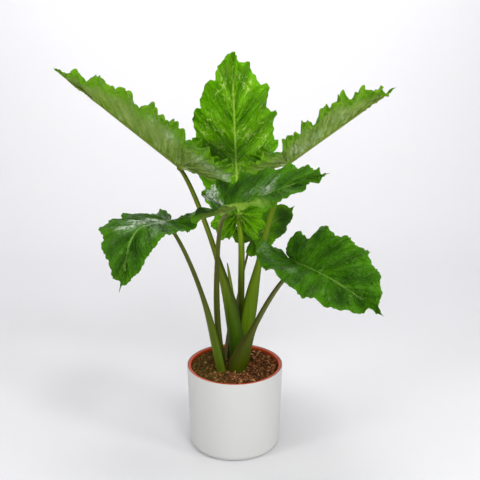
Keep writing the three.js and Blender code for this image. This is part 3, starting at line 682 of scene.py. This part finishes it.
# Stems. foot: where each leaves the soil, knees: the inner control points of its curve. wide: sheath
# width, mid and top: width above it, from and to: where it narrows, face: where its back looks. deep:
# the sheath's depth as a share of its width. tone: where its colour gives way, if elsewhere.
soilEdge = 217  # height of the soil at the grow pot's wall
stemShape = {
    "seat": 4.9, "rings": 90, "round": 48, "sink": 36, "sinkSteps": (1, 0.6, 0.3), "footScale": 0.75,
    "capAngles": (20, 40, 58, 74), "inShare": 0.35, "edgeRidge": 1.5, "ridgeAt": -12, "ridgeSpread": 9,
}
stems = {
    "f": {"foot": (4, -28), "knees": ((23, -31, 290), (101, -36, 475)), "wide": 50, "mid": 19, "top": 8.5,
          "from": 0.09, "to": 0.43, "face": -80, "deep": 0.36, "tone": (0.15, 0.7)},
    "e": {"foot": (-30, -32), "knees": ((-51, -18, 328), (-106, -43, 546)), "wide": 32, "mid": 15.5,
          "top": 8.6, "from": 0.1, "to": 0.52, "face": 200, "deep": 0.5},
    "d": {"foot": (-26, -2), "knees": ((-55, -5, 377), (-49, 30, 625)), "wide": 17, "mid": 17, "top": 8.5,
          "from": 0.19, "to": 0.6, "face": 200, "deep": 0.7},
    "b": {"foot": (3, 12), "knees": ((35, 31, 296), (-110, 85, 715)), "wide": 43, "mid": 19, "top": 9.5,
          "from": 0.19, "to": 0.56, "face": -95, "deep": 0.36},
    "c": {"foot": (20, 32), "knees": ((35, 36, 390), (90, 28, 657)), "wide": 41, "mid": 19, "top": 10,
          "from": 0.22, "to": 0.52, "face": -70, "deep": 0.36},
    "a": {"foot": (26, 54), "knees": ((3, 58, 325), (32, 112, 540)), "wide": 27, "mid": 20, "top": 15,
          "from": 0.14, "to": 0.41, "face": 90, "deep": 0.6, "tone": (0.4, 1.0)},
    "g": {"foot": (-17, 47), "knees": ((-9, 82, 290), (22, 135, 450)), "wide": 24, "mid": 8.7, "top": 5.5,
          "from": 0.24, "to": 0.52, "face": 150, "deep": 0.6},
}
youngSheath = {
    "foot": (0, 34), "bow": (0, 40, 380), "tip": (-19.5, 38, 491), "wide": 19, "deep": 0.35, "rings": 40,
    "taper": 0.6, "tipWide": 1.2,
}

# Screen colours of each stem, and which of its sides gets the painted shade
stemFinishes = {
    "a": {"sheath": (80, 94, 0), "stalk": (158, 192, 44), "streakAndShade": (66, 76, 4), "edge": (70, 80, 6),
          "shadeSide": -1},
    "b": {"sheath": (78, 110, 0), "stalk": (122, 136, 40), "streakAndShade": (48, 66, 0), "edge": (34, 36, 2)},
    "c": {"sheath": (98, 126, 0), "stalk": (112, 136, 26), "streakAndShade": (66, 90, 0), "edge": (60, 70, 8)},
    "d": {"sheath": (88, 102, 6), "stalk": (116, 124, 50), "streakAndShade": (80, 82, 28), "edge": (80, 90, 24)},
    "e": {"sheath": (98, 124, 6), "stalk": (108, 112, 60), "streakAndShade": (76, 88, 24), "edge": (84, 108, 14)},
    "f": {"sheath": (72, 84, 0), "stalk": (106, 108, 60), "streakAndShade": (60, 64, 0), "edge": (92, 80, 28),
          "shadeSide": -1},
    "g": {"sheath": (90, 98, 40), "stalk": (114, 112, 74), "streakAndShade": (84, 76, 46), "edge": (90, 96, 40)},
    "tip": {"sheath": (122, 136, 56), "stalk": (122, 136, 56), "streakAndShade": (88, 96, 34),
            "edge": (70, 66, 20)},
}
stemLook = {
    "streakScale": (260, 260, 9), "streakEdges": (0.45, 0.75), "cloudScale": (30, 30, 12),
    "cloudEdges": (0.5, 0.8), "mottleShare": 0.3, "darkEdges": (0.1, 0.9), "darkShare": 0.7,
    "lineEdges": (0.9, 0.97), "lineShare": 0.8, "rough": 0.42, "cloudRough": 0.15, "specular": 0.2,
    "bump": 0.35, "bumpDepth": 0.0012,
}


def stemMaterial(name, finish, look=stemLook):
    # The sheath's colour gives way to the stalk's, one side gets painted shade, and both edges have a thin
    # line.
    paint = Paint(name)
    tone = lambda key: colour(*finish[key])
    sheath, side = paint.mark("sheath"), paint.mark("side")
    spot = paint.place()
    streak = paint.noise(paint.stretched(spot, look["streakScale"]), 1.0)
    cloud = paint.noise(paint.stretched(spot, look["cloudScale"]), 1.0)
    # painted shade: the side away from the light is darker, in the streak tone
    shadeSide = paint.ramp(side * finish.get("shadeSide", 1), *look["darkEdges"])
    body = paint.layered(
        tone("stalk"),
        (sheath, tone("sheath")),
        (shadeSide * look["darkShare"], tone("streakAndShade")),
        (paint.ramp(streak, *look["streakEdges"]) * look["mottleShare"], tone("streakAndShade")),
        (paint.ramp(cloud, *look["cloudEdges"]) * look["mottleShare"], tone("streakAndShade")),
        (paint.ramp(abs(side), *look["lineEdges"]) * sheath * look["lineShare"], tone("edge")),
    )
    normal = paint.bump(streak, look["bump"], look["bumpDepth"])
    rough = cloud * look["cloudRough"] + look["rough"]
    sockets = {"Base Color": body, "Roughness": rough, "Normal": normal}
    return paint.finish({**sockets, "Specular IOR Level": look["specular"]})


stemMaterials = {key: stemMaterial("stem_" + key, finish) for key, finish in stemFinishes.items()}


def bowed(points, u):
    # A curve pulled by its inner points: each step blends neighbours by u until one is left. Its slope
    # comes from the last two.
    points = [np.broadcast_to(np.asarray(p, float), (len(u), 3)) for p in points]
    while len(points) > 2:
        points = [mixed(a, b, u[:, None]) for a, b in zip(points, points[1:])]
    return mixed(points[0], points[1], u[:, None]), unit(points[1] - points[0])


def tube(name, centre, tangent, face, half, outDepth, inDepth, material, replaced, sheath, ridge=None):
    # A closed skin round a curve: at each ring, half the width to the sides, and its own depth behind
    # and in front. ridge stands out at the two edges of the front.
    count = stemShape["round"]
    angle = np.arange(count) / count * 2 * np.pi
    across = unit(np.cross(tangent, face))
    back = unit(np.cross(across, tangent))
    wave, rise = np.cos(angle)[None], np.sin(angle)[None]
    depth = np.where(rise > 0, outDepth[:, None], inDepth[:, None])
    points = centre[:, None] + across[:, None] * (half[:, None] * wave)[..., None]
    points = points + back[:, None] * (depth * rise)[..., None]
    if ridge is not None:
        turn = np.degrees(np.arctan2(np.sin(angle), np.abs(np.cos(angle))))
        fromRidge = (turn - stemShape["ridgeAt"]) / stemShape["ridgeSpread"]
        lip = np.exp(-(fromRidge**2))[None] * ridge[:, None]
        points = points + unit(points - centre[:, None]) * lip[..., None]
    rings = len(centre)
    allPoints = np.concatenate([points.reshape(-1, 3), centre[[0, -1]]])
    marks = {
        "side": np.concatenate([np.tile(wave[0], rings), [0, 0]]),
        "sheath": np.concatenate([np.repeat(sheath, count), sheath[[0, -1]]]),
    }
    meshPiece(name, allPoints, closedSkin(rings, count), material, replaced, marks=marks)


def narrowing(u, low, high):  # 1 before low, 0 after high
    return 1 - smooth((u - low) / (high - low))


def stalkPiece(key, stem, leaf, shape=stemShape):
    # The stem from three rings in the soil, the lowest drawn in, up its curve to a round end that is
    # seated under the leaf. Its depth and width blend from the sheath's to a round stalk's.
    point, normal, _ = midrib(leaf, np.zeros(1))
    end = (point - normal * (stem["top"] / 2 + leaf.get("seat", shape["seat"])))[0]
    u = np.linspace(0, 1, shape["rings"])
    centre, tangent = bowed([(*stem["foot"], soilEdge), *stem["knees"], end], u)
    bounds = (stem["from"], stem["to"])
    sheath, tone = narrowing(u, *bounds), narrowing(u, *stem.get("tone", bounds))
    width = mixed(mixed(stem["mid"], stem["top"], u), stem["wide"], sheath)

    sunkCount, capAngle = len(shape["sinkSteps"]), np.radians(shape["capAngles"])
    sunk = centre[0] - tangent[0] * shape["sink"] * np.array(shape["sinkSteps"])[:, None]
    cap = centre[-1] + tangent[-1] * (stem["top"] / 2 * np.sin(capAngle))[:, None]
    stretch = lambda v: np.concatenate([v[:1].repeat(sunkCount, 0), v, v[-1:].repeat(len(capAngle), 0)])
    scale = np.concatenate([[shape["footScale"], 1, 1], np.ones(len(u)), np.cos(capAngle)])
    sheath, tone, width, tangent = stretch(sheath), stretch(tone), stretch(width) * scale, stretch(tangent)
    centre = np.concatenate([sunk, centre, cap])
    faceAngle = math.radians(stem["face"])
    face = np.array([math.cos(faceAngle), math.sin(faceAngle), 0])
    outDepth = mixed(width / 2, width * stem["deep"], sheath)
    inDepth = mixed(width / 2, width * stem["deep"] * shape["inShare"], sheath)
    tube(
        "stalk_" + key, centre, tangent, face, width / 2, outDepth, inDepth, stemMaterials[key],
        ("stem_" + key,), tone, shape["edgeRidge"] * sheath,
    )


def sheathPiece(sheath=youngSheath):
    # The young sheath: one flat tube that runs out in a point.
    u = np.linspace(0, 1, sheath["rings"])
    centre, tangent = bowed([(*sheath["foot"], soilEdge), sheath["bow"], sheath["tip"]], u)
    width = sheath["wide"] * (1 - u) ** sheath["taper"] + sheath["tipWide"]
    centre = np.concatenate([centre[:1] - tangent[:1] * stemShape["sink"], centre])
    tangent, width = np.concatenate([tangent[:1], tangent]), np.concatenate([width[:1], width])
    depth = width * sheath["deep"]
    tube(
        "sheath_tip", centre, tangent, np.array([0.0, -1, 0]), width / 2, depth, depth,
        stemMaterials["tip"], ("young_sheath",), np.ones(len(width)),
    )


for key, stem in stems.items():
    stalkPiece(key, stem, leaves[key])
sheathPiece()
print("stems made:", len(stems) + 1)


# The two pots: a profile of radius and height turned once round Z
pot = {
    "height": 225, "rimRadius": 125, "footRadius": 119.5, "cornerRadius": 18, "wall": 2, "floor": 5,
    "flat": 60, "sideSteps": 12, "tones": ((208, 208, 206), (201, 200, 196)), "cloudScale": (9, 9, 5),
    "cloudShare": 0.5, "grainScale": 900.0, "rough": 0.42, "cloudRough": 0.1, "bump": 0.12,
    "bumpDepth": 0.0004,
}
growPot = {
    "footRadius": 95, "shoulderRadius": 116.5, "lipRadius": 122.6, "lipBottom": 210.5, "top": 224,
    "innerTop": 114.9, "wall": 2.1, "floor": 5.3, "tones": ((204, 74, 32), (222, 98, 52)),
    "dust": (120, 74, 48), "cloudScale": 22.0, "dustScale": 160.0, "dustEdges": (0.55, 0.75),
    "dustShare": 0.35, "dustRough": 0.2, "rough": 0.42, "bump": 0.2, "bumpDepth": 0.0006,
}
potSegments = 160


def potMaterial(look=pot):
    # Two pale tones blended by slow noise, under a fine grain.
    paint = Paint("white_glaze")
    spot = paint.place()
    cloud = paint.noise(paint.stretched(spot, look["cloudScale"]), 1.0)
    grain = paint.noise(spot, look["grainScale"], 2.0)
    body = paint.blend(cloud * look["cloudShare"], *(colour(*tone) for tone in look["tones"]))
    normal = paint.bump(grain, look["bump"], look["bumpDepth"])
    rough = cloud * look["cloudRough"] + look["rough"]
    return paint.finish({"Base Color": body, "Roughness": rough, "Normal": normal})


def growPotMaterial(look=growPot):
    # Two clay tones blended by slow noise, with dust where a finer noise is high.
    paint = Paint("terracotta_plastic")
    spot = paint.place()
    cloud = paint.noise(paint.stretched(spot, [look["cloudScale"]] * 3), 1.0, 4.0)
    dust = paint.ramp(paint.noise(spot, look["dustScale"], 4.0), *look["dustEdges"])
    body = paint.blend(cloud, *(colour(*tone) for tone in look["tones"]))
    body = paint.blend(dust * look["dustShare"], body, colour(*look["dust"]))
    normal = paint.bump(cloud, look["bump"], look["bumpDepth"])
    rough = dust * look["dustRough"] + look["rough"]
    return paint.finish({"Base Color": body, "Roughness": rough, "Normal": normal})


def turnedPiece(name, profile, segments, material, replaced):
    # The profile's inner points as rings of radius times cosine and sine, its two ends as points on Z.
    profile = np.array(profile, float)
    angle = np.arange(segments) / segments * 2 * np.pi
    ring = profile[1:-1]
    x, y = ring[:, :1] * np.cos(angle), ring[:, :1] * np.sin(angle)
    rings = np.stack([x, y, np.broadcast_to(ring[:, 1:], x.shape)], -1)
    ends = [[0, 0, profile[0, 1]], [0, 0, profile[-1, 1]]]
    points = np.concatenate([rings.reshape(-1, 3), ends])
    meshPiece(name, points, closedSkin(len(ring), segments), material, replaced)


def arc(radius, centreR, centreZ, fromDegrees, toDegrees, pieces):  # points on a circle of a profile
    angle = np.radians(np.linspace(fromDegrees, toDegrees, pieces + 1))
    return [(centreR + radius * math.cos(a), centreZ + radius * math.sin(a)) for a in angle]


def potProfile(p):
    # The foot and its round corner, the straight side, the round rim, and the corner inside.
    lip, corner = p["wall"] / 2, p["cornerRadius"]
    cornerAt = p["footRadius"] - corner
    upSide = [k / p["sideSteps"] for k in range(1, p["sideSteps"])]
    sideAt = lambda k: (mixed(p["footRadius"], p["rimRadius"], k), mixed(corner, p["height"] - lip, k))
    inner = corner - p["wall"]
    return [
        (0, 0), (p["flat"], 0), *arc(corner, cornerAt, corner, -90, 0, p["sideSteps"]),
        *map(sideAt, upSide),
        *arc(lip, p["rimRadius"] - lip, p["height"] - lip, 0, 180, 10),
        *arc(inner, cornerAt, p["floor"] + inner, 0, -90, 6), (0, p["floor"]),
    ]


def growPotProfile(g):
    # Foot, sloping side, upright lip with its edges broken, and the inside down to the floor.
    return [
        (0, g["floor"]), (g["footRadius"] - 2, g["floor"]), (g["footRadius"], g["floor"] + 2),
        (g["shoulderRadius"], g["lipBottom"] - 1), (g["lipRadius"] - 1.1, g["lipBottom"]),
        (g["lipRadius"] - 0.3, g["lipBottom"] + 1), (g["lipRadius"], g["top"] - 1.8),
        (g["lipRadius"] - 0.5, g["top"] - 0.5), (g["lipRadius"] - 1.6, g["top"]),
        (g["innerTop"] + 2.4, g["top"]), (g["innerTop"] + 0.8, g["top"] - 0.6),
        (g["innerTop"], g["top"] - 2.5), (g["innerTop"] - 0.4, g["lipBottom"]),
        (g["footRadius"] - g["wall"], g["floor"] + g["wall"]), (0, g["floor"] + g["wall"]),
    ]


turnedPiece("outer_pot", potProfile(pot), potSegments, potMaterial(), ("cachepot",))
turnedPiece(
    "grow_pot", growPotProfile(growPot), potSegments, growPotMaterial(),
    ("nursery_pot",),
)
print("pots made")


# Soil: a lumpy crust inside the grow pot, with crumbs and fibres lying on it. Sizes in millimetres.
# tones run from dark to light.
soil = {
    "edge": soilEdge, "middle": 220.5, "radius": 113.6, "lump": 1, "rough": (1.5, 0.8), "depth": 30,
    "flatFrom": 0.85, "rings": 110, "spokes": 300, "seed": 7,
    "tones": ((44, 24, 10), (100, 60, 28), (154, 96, 52), (178, 122, 70), (212, 174, 126)),
    "patchScale": 110.0, "patchEdges": (0.34, 0.66), "grainScale": 420.0, "grainShare": 0.15,
    "olive": (88, 84, 6), "oliveEdges": (-0.02, 0.07), "oliveShare": 0.5, "roughness": 0.92,
    "bump": 0.8, "bumpDepth": 0.002,
}
crumb = {
    "count": 2600, "fromEdge": 4, "least": 1.2, "more": 3.4, "fewLarge": 2.2, "sunk": 0.25, "around": 6,
    "latitudes": (-54, -18, 18, 54), "dents": (0.65, 1.2), "squash": (0.55, 1.3), "darker": 1.7,
}
fibre = {
    "count": 700, "fromEdge": 10, "rings": 7, "around": 4, "least": 4, "more": 14, "bow": 0.35,
    "above": (0.7, 1.6), "thick": (0.25, 0.35), "taper": 0.8,
}


def soilHeight(x, y):
    # A low mound, with three slow waves and two sizes of smooth noise on it, all lower at the edge.
    r = np.hypot(x, y) / soil["radius"]
    mound = mixed(soil["middle"], soil["edge"], smooth(r))
    waves = np.sin(x / 11 + y / 17) + np.sin(y / 9 - x / 23) + np.cos(x / 7) * np.cos(y / 8)
    noiseAt = lambda size, shift, seed: softNoise(x / size + shift, y / size + shift, seed)
    coarse, finer = soil["rough"]
    rough = coarse * noiseAt(6, 20, 11) + finer * noiseAt(2.4, 30, 12)
    flat = smooth((r - soil["flatFrom"]) / (1 - soil["flatFrom"]))
    return mound + (soil["lump"] * waves + rough) * (1 - 0.7 * flat)


def soilMaterial(name, tones, mark=None, look=soil):
    # A mark picks each crumb's tone, noise picks the crust's. The left side has an olive cast.
    paint = Paint(name)
    spot = paint.place()
    pick = paint.mark(mark) if mark else paint.noise(spot, look["patchScale"], 5.0, 0.7)
    if not mark:
        pick = paint.ramp(pick, *look["patchEdges"])
    grain = paint.noise(spot, look["grainScale"], 4.0, 0.7)
    stops = [(n / (len(tones) - 1), colour(*tone)) for n, tone in enumerate(tones)]
    body = paint.node("ValToRGB", {"stops": stops}, {0: mixed(pick, grain, look["grainShare"])})
    left = paint.ramp(paint.node("SeparateXYZ", {}, {0: spot}) * -1, *look["oliveEdges"])
    body = paint.blend(left * look["oliveShare"], body, colour(*look["olive"]))
    normal = paint.bump(grain, look["bump"], look["bumpDepth"])
    return paint.finish({"Base Color": body, "Roughness": look["roughness"], "Normal": normal})


def soilBed(bed=soil):
    # Rings of points at the mound's height, closed by a fan at the middle and by a flat base below.
    rings, spokes = bed["rings"], bed["spokes"]
    radius = bed["radius"] * (np.arange(rings) + 0.5) / (rings - 0.5)
    angle = np.arange(spokes) / spokes * 2 * np.pi
    x, y = radius[:, None] * np.cos(angle), radius[:, None] * np.sin(angle)
    top = np.stack([x, y, soilHeight(x, y)], -1).reshape(-1, 3)
    base = bed["edge"] - bed["depth"]
    under = np.stack([x[-1] * 0.97, y[-1] * 0.97, np.full(spokes, float(base))], -1)
    middle = float(soilHeight(np.zeros(1), np.zeros(1))[0])
    points = np.concatenate([top, under, [[0, 0, middle], [0, 0, base]]])
    skin = closedSkin(rings + 1, spokes)[:, ::-1]
    meshPiece("soil_bed", points, skin, soilMaterial("soil_crust", bed["tones"][:3]), ("soil",))


def scatter(things, seed):  # places spread evenly over the crust, and the draws to go on with
    draw, count = np.random.default_rng(seed), things["count"]
    limit = soil["radius"] - things["fromEdge"]
    r, a = limit * np.sqrt(draw.uniform(0, 1, count)), draw.uniform(0, 2 * np.pi, count)
    return draw, r * np.cos(a), r * np.sin(a)


def turnedAbout(draw, count):
    # A random turn for each of count things, as three unit directions.
    first = unit(draw.normal(size=(count, 3)))
    second = unit(np.cross(first, draw.normal(size=(count, 3))))
    return first, second, np.cross(first, second)


def scatteredPiece(name, points, one, kind, material):  # many copies of one small skin
    count, perThing = points.shape[:2]
    triangles = (one[None] + np.arange(count)[:, None, None] * perThing).reshape(-1, 3)
    marks = {"kind": np.repeat(kind, perThing)}
    meshPiece(name, points.reshape(-1, 3), triangles, material, marks=marks)


def crumbs(seed):
    # Each crumb is a ball of four rings and two poles, squashed and dented by its own random numbers.
    draw, cx, cy = scatter(crumb, seed)
    n, around, levels = crumb["count"], crumb["around"], len(crumb["latitudes"])
    size = crumb["least"] + crumb["more"] * draw.uniform(0, 1, n) ** crumb["fewLarge"]
    lat = np.radians(crumb["latitudes"])[:, None]
    lon = np.arange(around) / around * 2 * np.pi
    level = np.broadcast_arrays(np.cos(lat) * np.cos(lon), np.cos(lat) * np.sin(lon), np.sin(lat))
    ball = np.concatenate([np.stack(level, -1).reshape(-1, 3), [[0, 0, -1], [0, 0, 1]]])
    dents = draw.uniform(*crumb["dents"], (n, len(ball)))
    axes = turnedAbout(draw, n)
    squash = draw.uniform(*crumb["squash"], (n, 3))
    reach = [ball[None, :, k] * dents * squash[:, k : k + 1] for k in range(3)]
    shaped = sum(axis[:, None] * far[..., None] for axis, far in zip(axes, reach))
    centre = np.stack([cx, cy, soilHeight(cx, cy) + size * crumb["sunk"]], -1)
    points = centre[:, None] + shaped * size[:, None, None]
    one = closedSkin(levels, around)
    kind = draw.uniform(0, 1, n) ** crumb["darker"]
    scatteredPiece("soil_crumbs", points, one, kind, soilMaterial("soil_crumb", soil["tones"], "kind"))


def fibres(seed):
    # Each fibre is a thin four-sided rod along a bowed line that lies on the crust.
    draw, cx, cy = scatter(fibre, seed)
    n, rings, around = fibre["count"], fibre["rings"], fibre["around"]
    heading = draw.uniform(0, 2 * np.pi, n)[:, None]
    long = (fibre["least"] + fibre["more"] * draw.uniform(0, 1, n) ** 2)[:, None]
    bow = draw.uniform(-fibre["bow"], fibre["bow"], n)[:, None]
    s = np.linspace(-0.5, 0.5, rings)[None]
    ahead, sideways = s * long, bow * long * (1 - 4 * s * s)
    x = cx[:, None] + ahead * np.cos(heading) - sideways * np.sin(heading)
    y = cy[:, None] + ahead * np.sin(heading) + sideways * np.cos(heading)
    lift, more = fibre["above"]
    z = soilHeight(x, y) + lift + draw.uniform(0, more, n)[:, None]
    centre = np.stack([x, y, z], -1)
    thin, extra = fibre["thick"]
    thick = (thin + extra * draw.uniform(0, 1, n))[:, None] * (1 - (2 * np.abs(s)) ** 4 * fibre["taper"])
    tangent = unit(np.gradient(centre, axis=1))
    across = unit(np.cross(tangent, [0.0, 0, 1]))
    up = np.cross(across, tangent)
    angle = np.arange(around) / around * 2 * np.pi
    ringed = across[:, :, None] * np.cos(angle)[:, None] + up[:, :, None] * np.sin(angle)[:, None]
    points = (centre[:, :, None] + ringed * thick[:, :, None, None]).reshape(n, -1, 3)
    last = (rings - 1) * around
    caps = np.array([[0, 2, 1], [0, 3, 2], [last, last + 1, last + 2], [last, last + 2, last + 3]])
    one = np.concatenate([gridTriangles(rings, around, wrap=True), caps])[:, ::-1]
    kind = draw.uniform(0, 1, n)
    scatteredPiece("soil_fibres", points, one, kind, soilMaterial("soil_fibre", soil["tones"][2:], "kind"))


soilBed()
crumbs(soil["seed"])
fibres(soil["seed"] + 1)
print("soil made")


# Room: a pale sweep behind and below, and soft lights
sweep = {
    "floor": (-4.0, -2.0, 0.0), "back": 1.5, "bend": 1.2, "top": 4.5, "half": 5.0, "columns": 9,
    "bendSteps": 25, "grey": (237, 236, 238), "rough": 0.7,
}
lights = [
    {"name": "overhead", "place": (0.0, 0.1, 2.9), "aim": (0, 0, 0.6), "size": (1.2, 1.0), "power": 18},
    {"name": "front_top", "place": (0.6, -1.5, 2.6), "aim": (0, 0, 0.4), "size": (0.6, 0.5), "power": 13},
    {"name": "front_right", "place": (2.8, -1.7, 1.4), "aim": (0, 0, 0.4), "size": (0.7, 0.7), "power": 26},
    {"name": "front_left", "place": (-2.6, -1.8, 1.6), "aim": (0, 0, 0.6), "size": (0.8, 0.8), "power": 19},
    {"name": "front_low", "place": (0.6, -2.8, 0.5), "aim": (0, 0, 0.7), "size": (1.6, 0.5), "power": 6},
    {"name": "floor_front", "place": (0, -2.4, 1.5), "aim": (0, -0.6, 0), "size": (1.2, 0.3), "power": 9},
    {"name": "backdrop", "place": (-0.2, 1.6, 2), "aim": (-0.2, 2.7, 1.5), "size": (3, 0.3), "power": 13},
]
worldLight = {"colour": (0.97, 0.98, 1.0, 1.0), "strength": 0.34}

across = np.linspace(-sweep["half"], sweep["half"], sweep["columns"])
turn = np.radians(np.linspace(-90, 0, sweep["bendSteps"]))
yz = [(y, 0.0) for y in sweep["floor"]]
yz += [(sweep["back"] + sweep["bend"] * math.cos(a), sweep["bend"] * (1 + math.sin(a))) for a in turn]
yz += [(sweep["back"] + sweep["bend"], sweep["top"])]
yz = np.array(yz)
sweepPoints = np.stack(np.broadcast_arrays(across[None], yz[:, :1], yz[:, 1:]), -1).reshape(-1, 3)
sweepMesh = bpy.data.meshes.new("sweep")
sweepMesh.from_pydata(sweepPoints.tolist(), [], gridTriangles(len(yz), len(across)).tolist())
sweepMesh.polygons.foreach_set("use_smooth", np.ones(len(sweepMesh.polygons), bool))
sweepObject = bpy.data.objects.new("sweep", sweepMesh)
scene.collection.objects.link(sweepObject)
sweepPaint = Paint("pale_sweep")
sweepLook = {"Base Color": colour(*sweep["grey"]), "Roughness": sweep["rough"]}
sweepMesh.materials.append(sweepPaint.finish(sweepLook))

for light in lights:
    data = bpy.data.lights.new(light["name"], "AREA")
    data.shape, data.size, data.size_y = "RECTANGLE", *light["size"]
    data.energy = light["power"]
    lamp = bpy.data.objects.new(light["name"], data)
    lamp.location = light["place"]
    aim = np.array(light["aim"], float) - np.array(light["place"], float)
    lamp.rotation_euler = (math.atan2(math.hypot(aim[0], aim[1]), -aim[2]), 0, math.atan2(-aim[0], aim[1]))
    scene.collection.objects.link(lamp)

world = bpy.data.worlds.new("studio")
world.use_nodes = True
world.node_tree.nodes["Background"].inputs[0].default_value = worldLight["colour"]
world.node_tree.nodes["Background"].inputs[1].default_value = worldLight["strength"]
scene.world = world
scene.view_settings.view_transform = "Standard"
scene.view_settings.look = "Medium High Contrast"
print("room and lights placed")
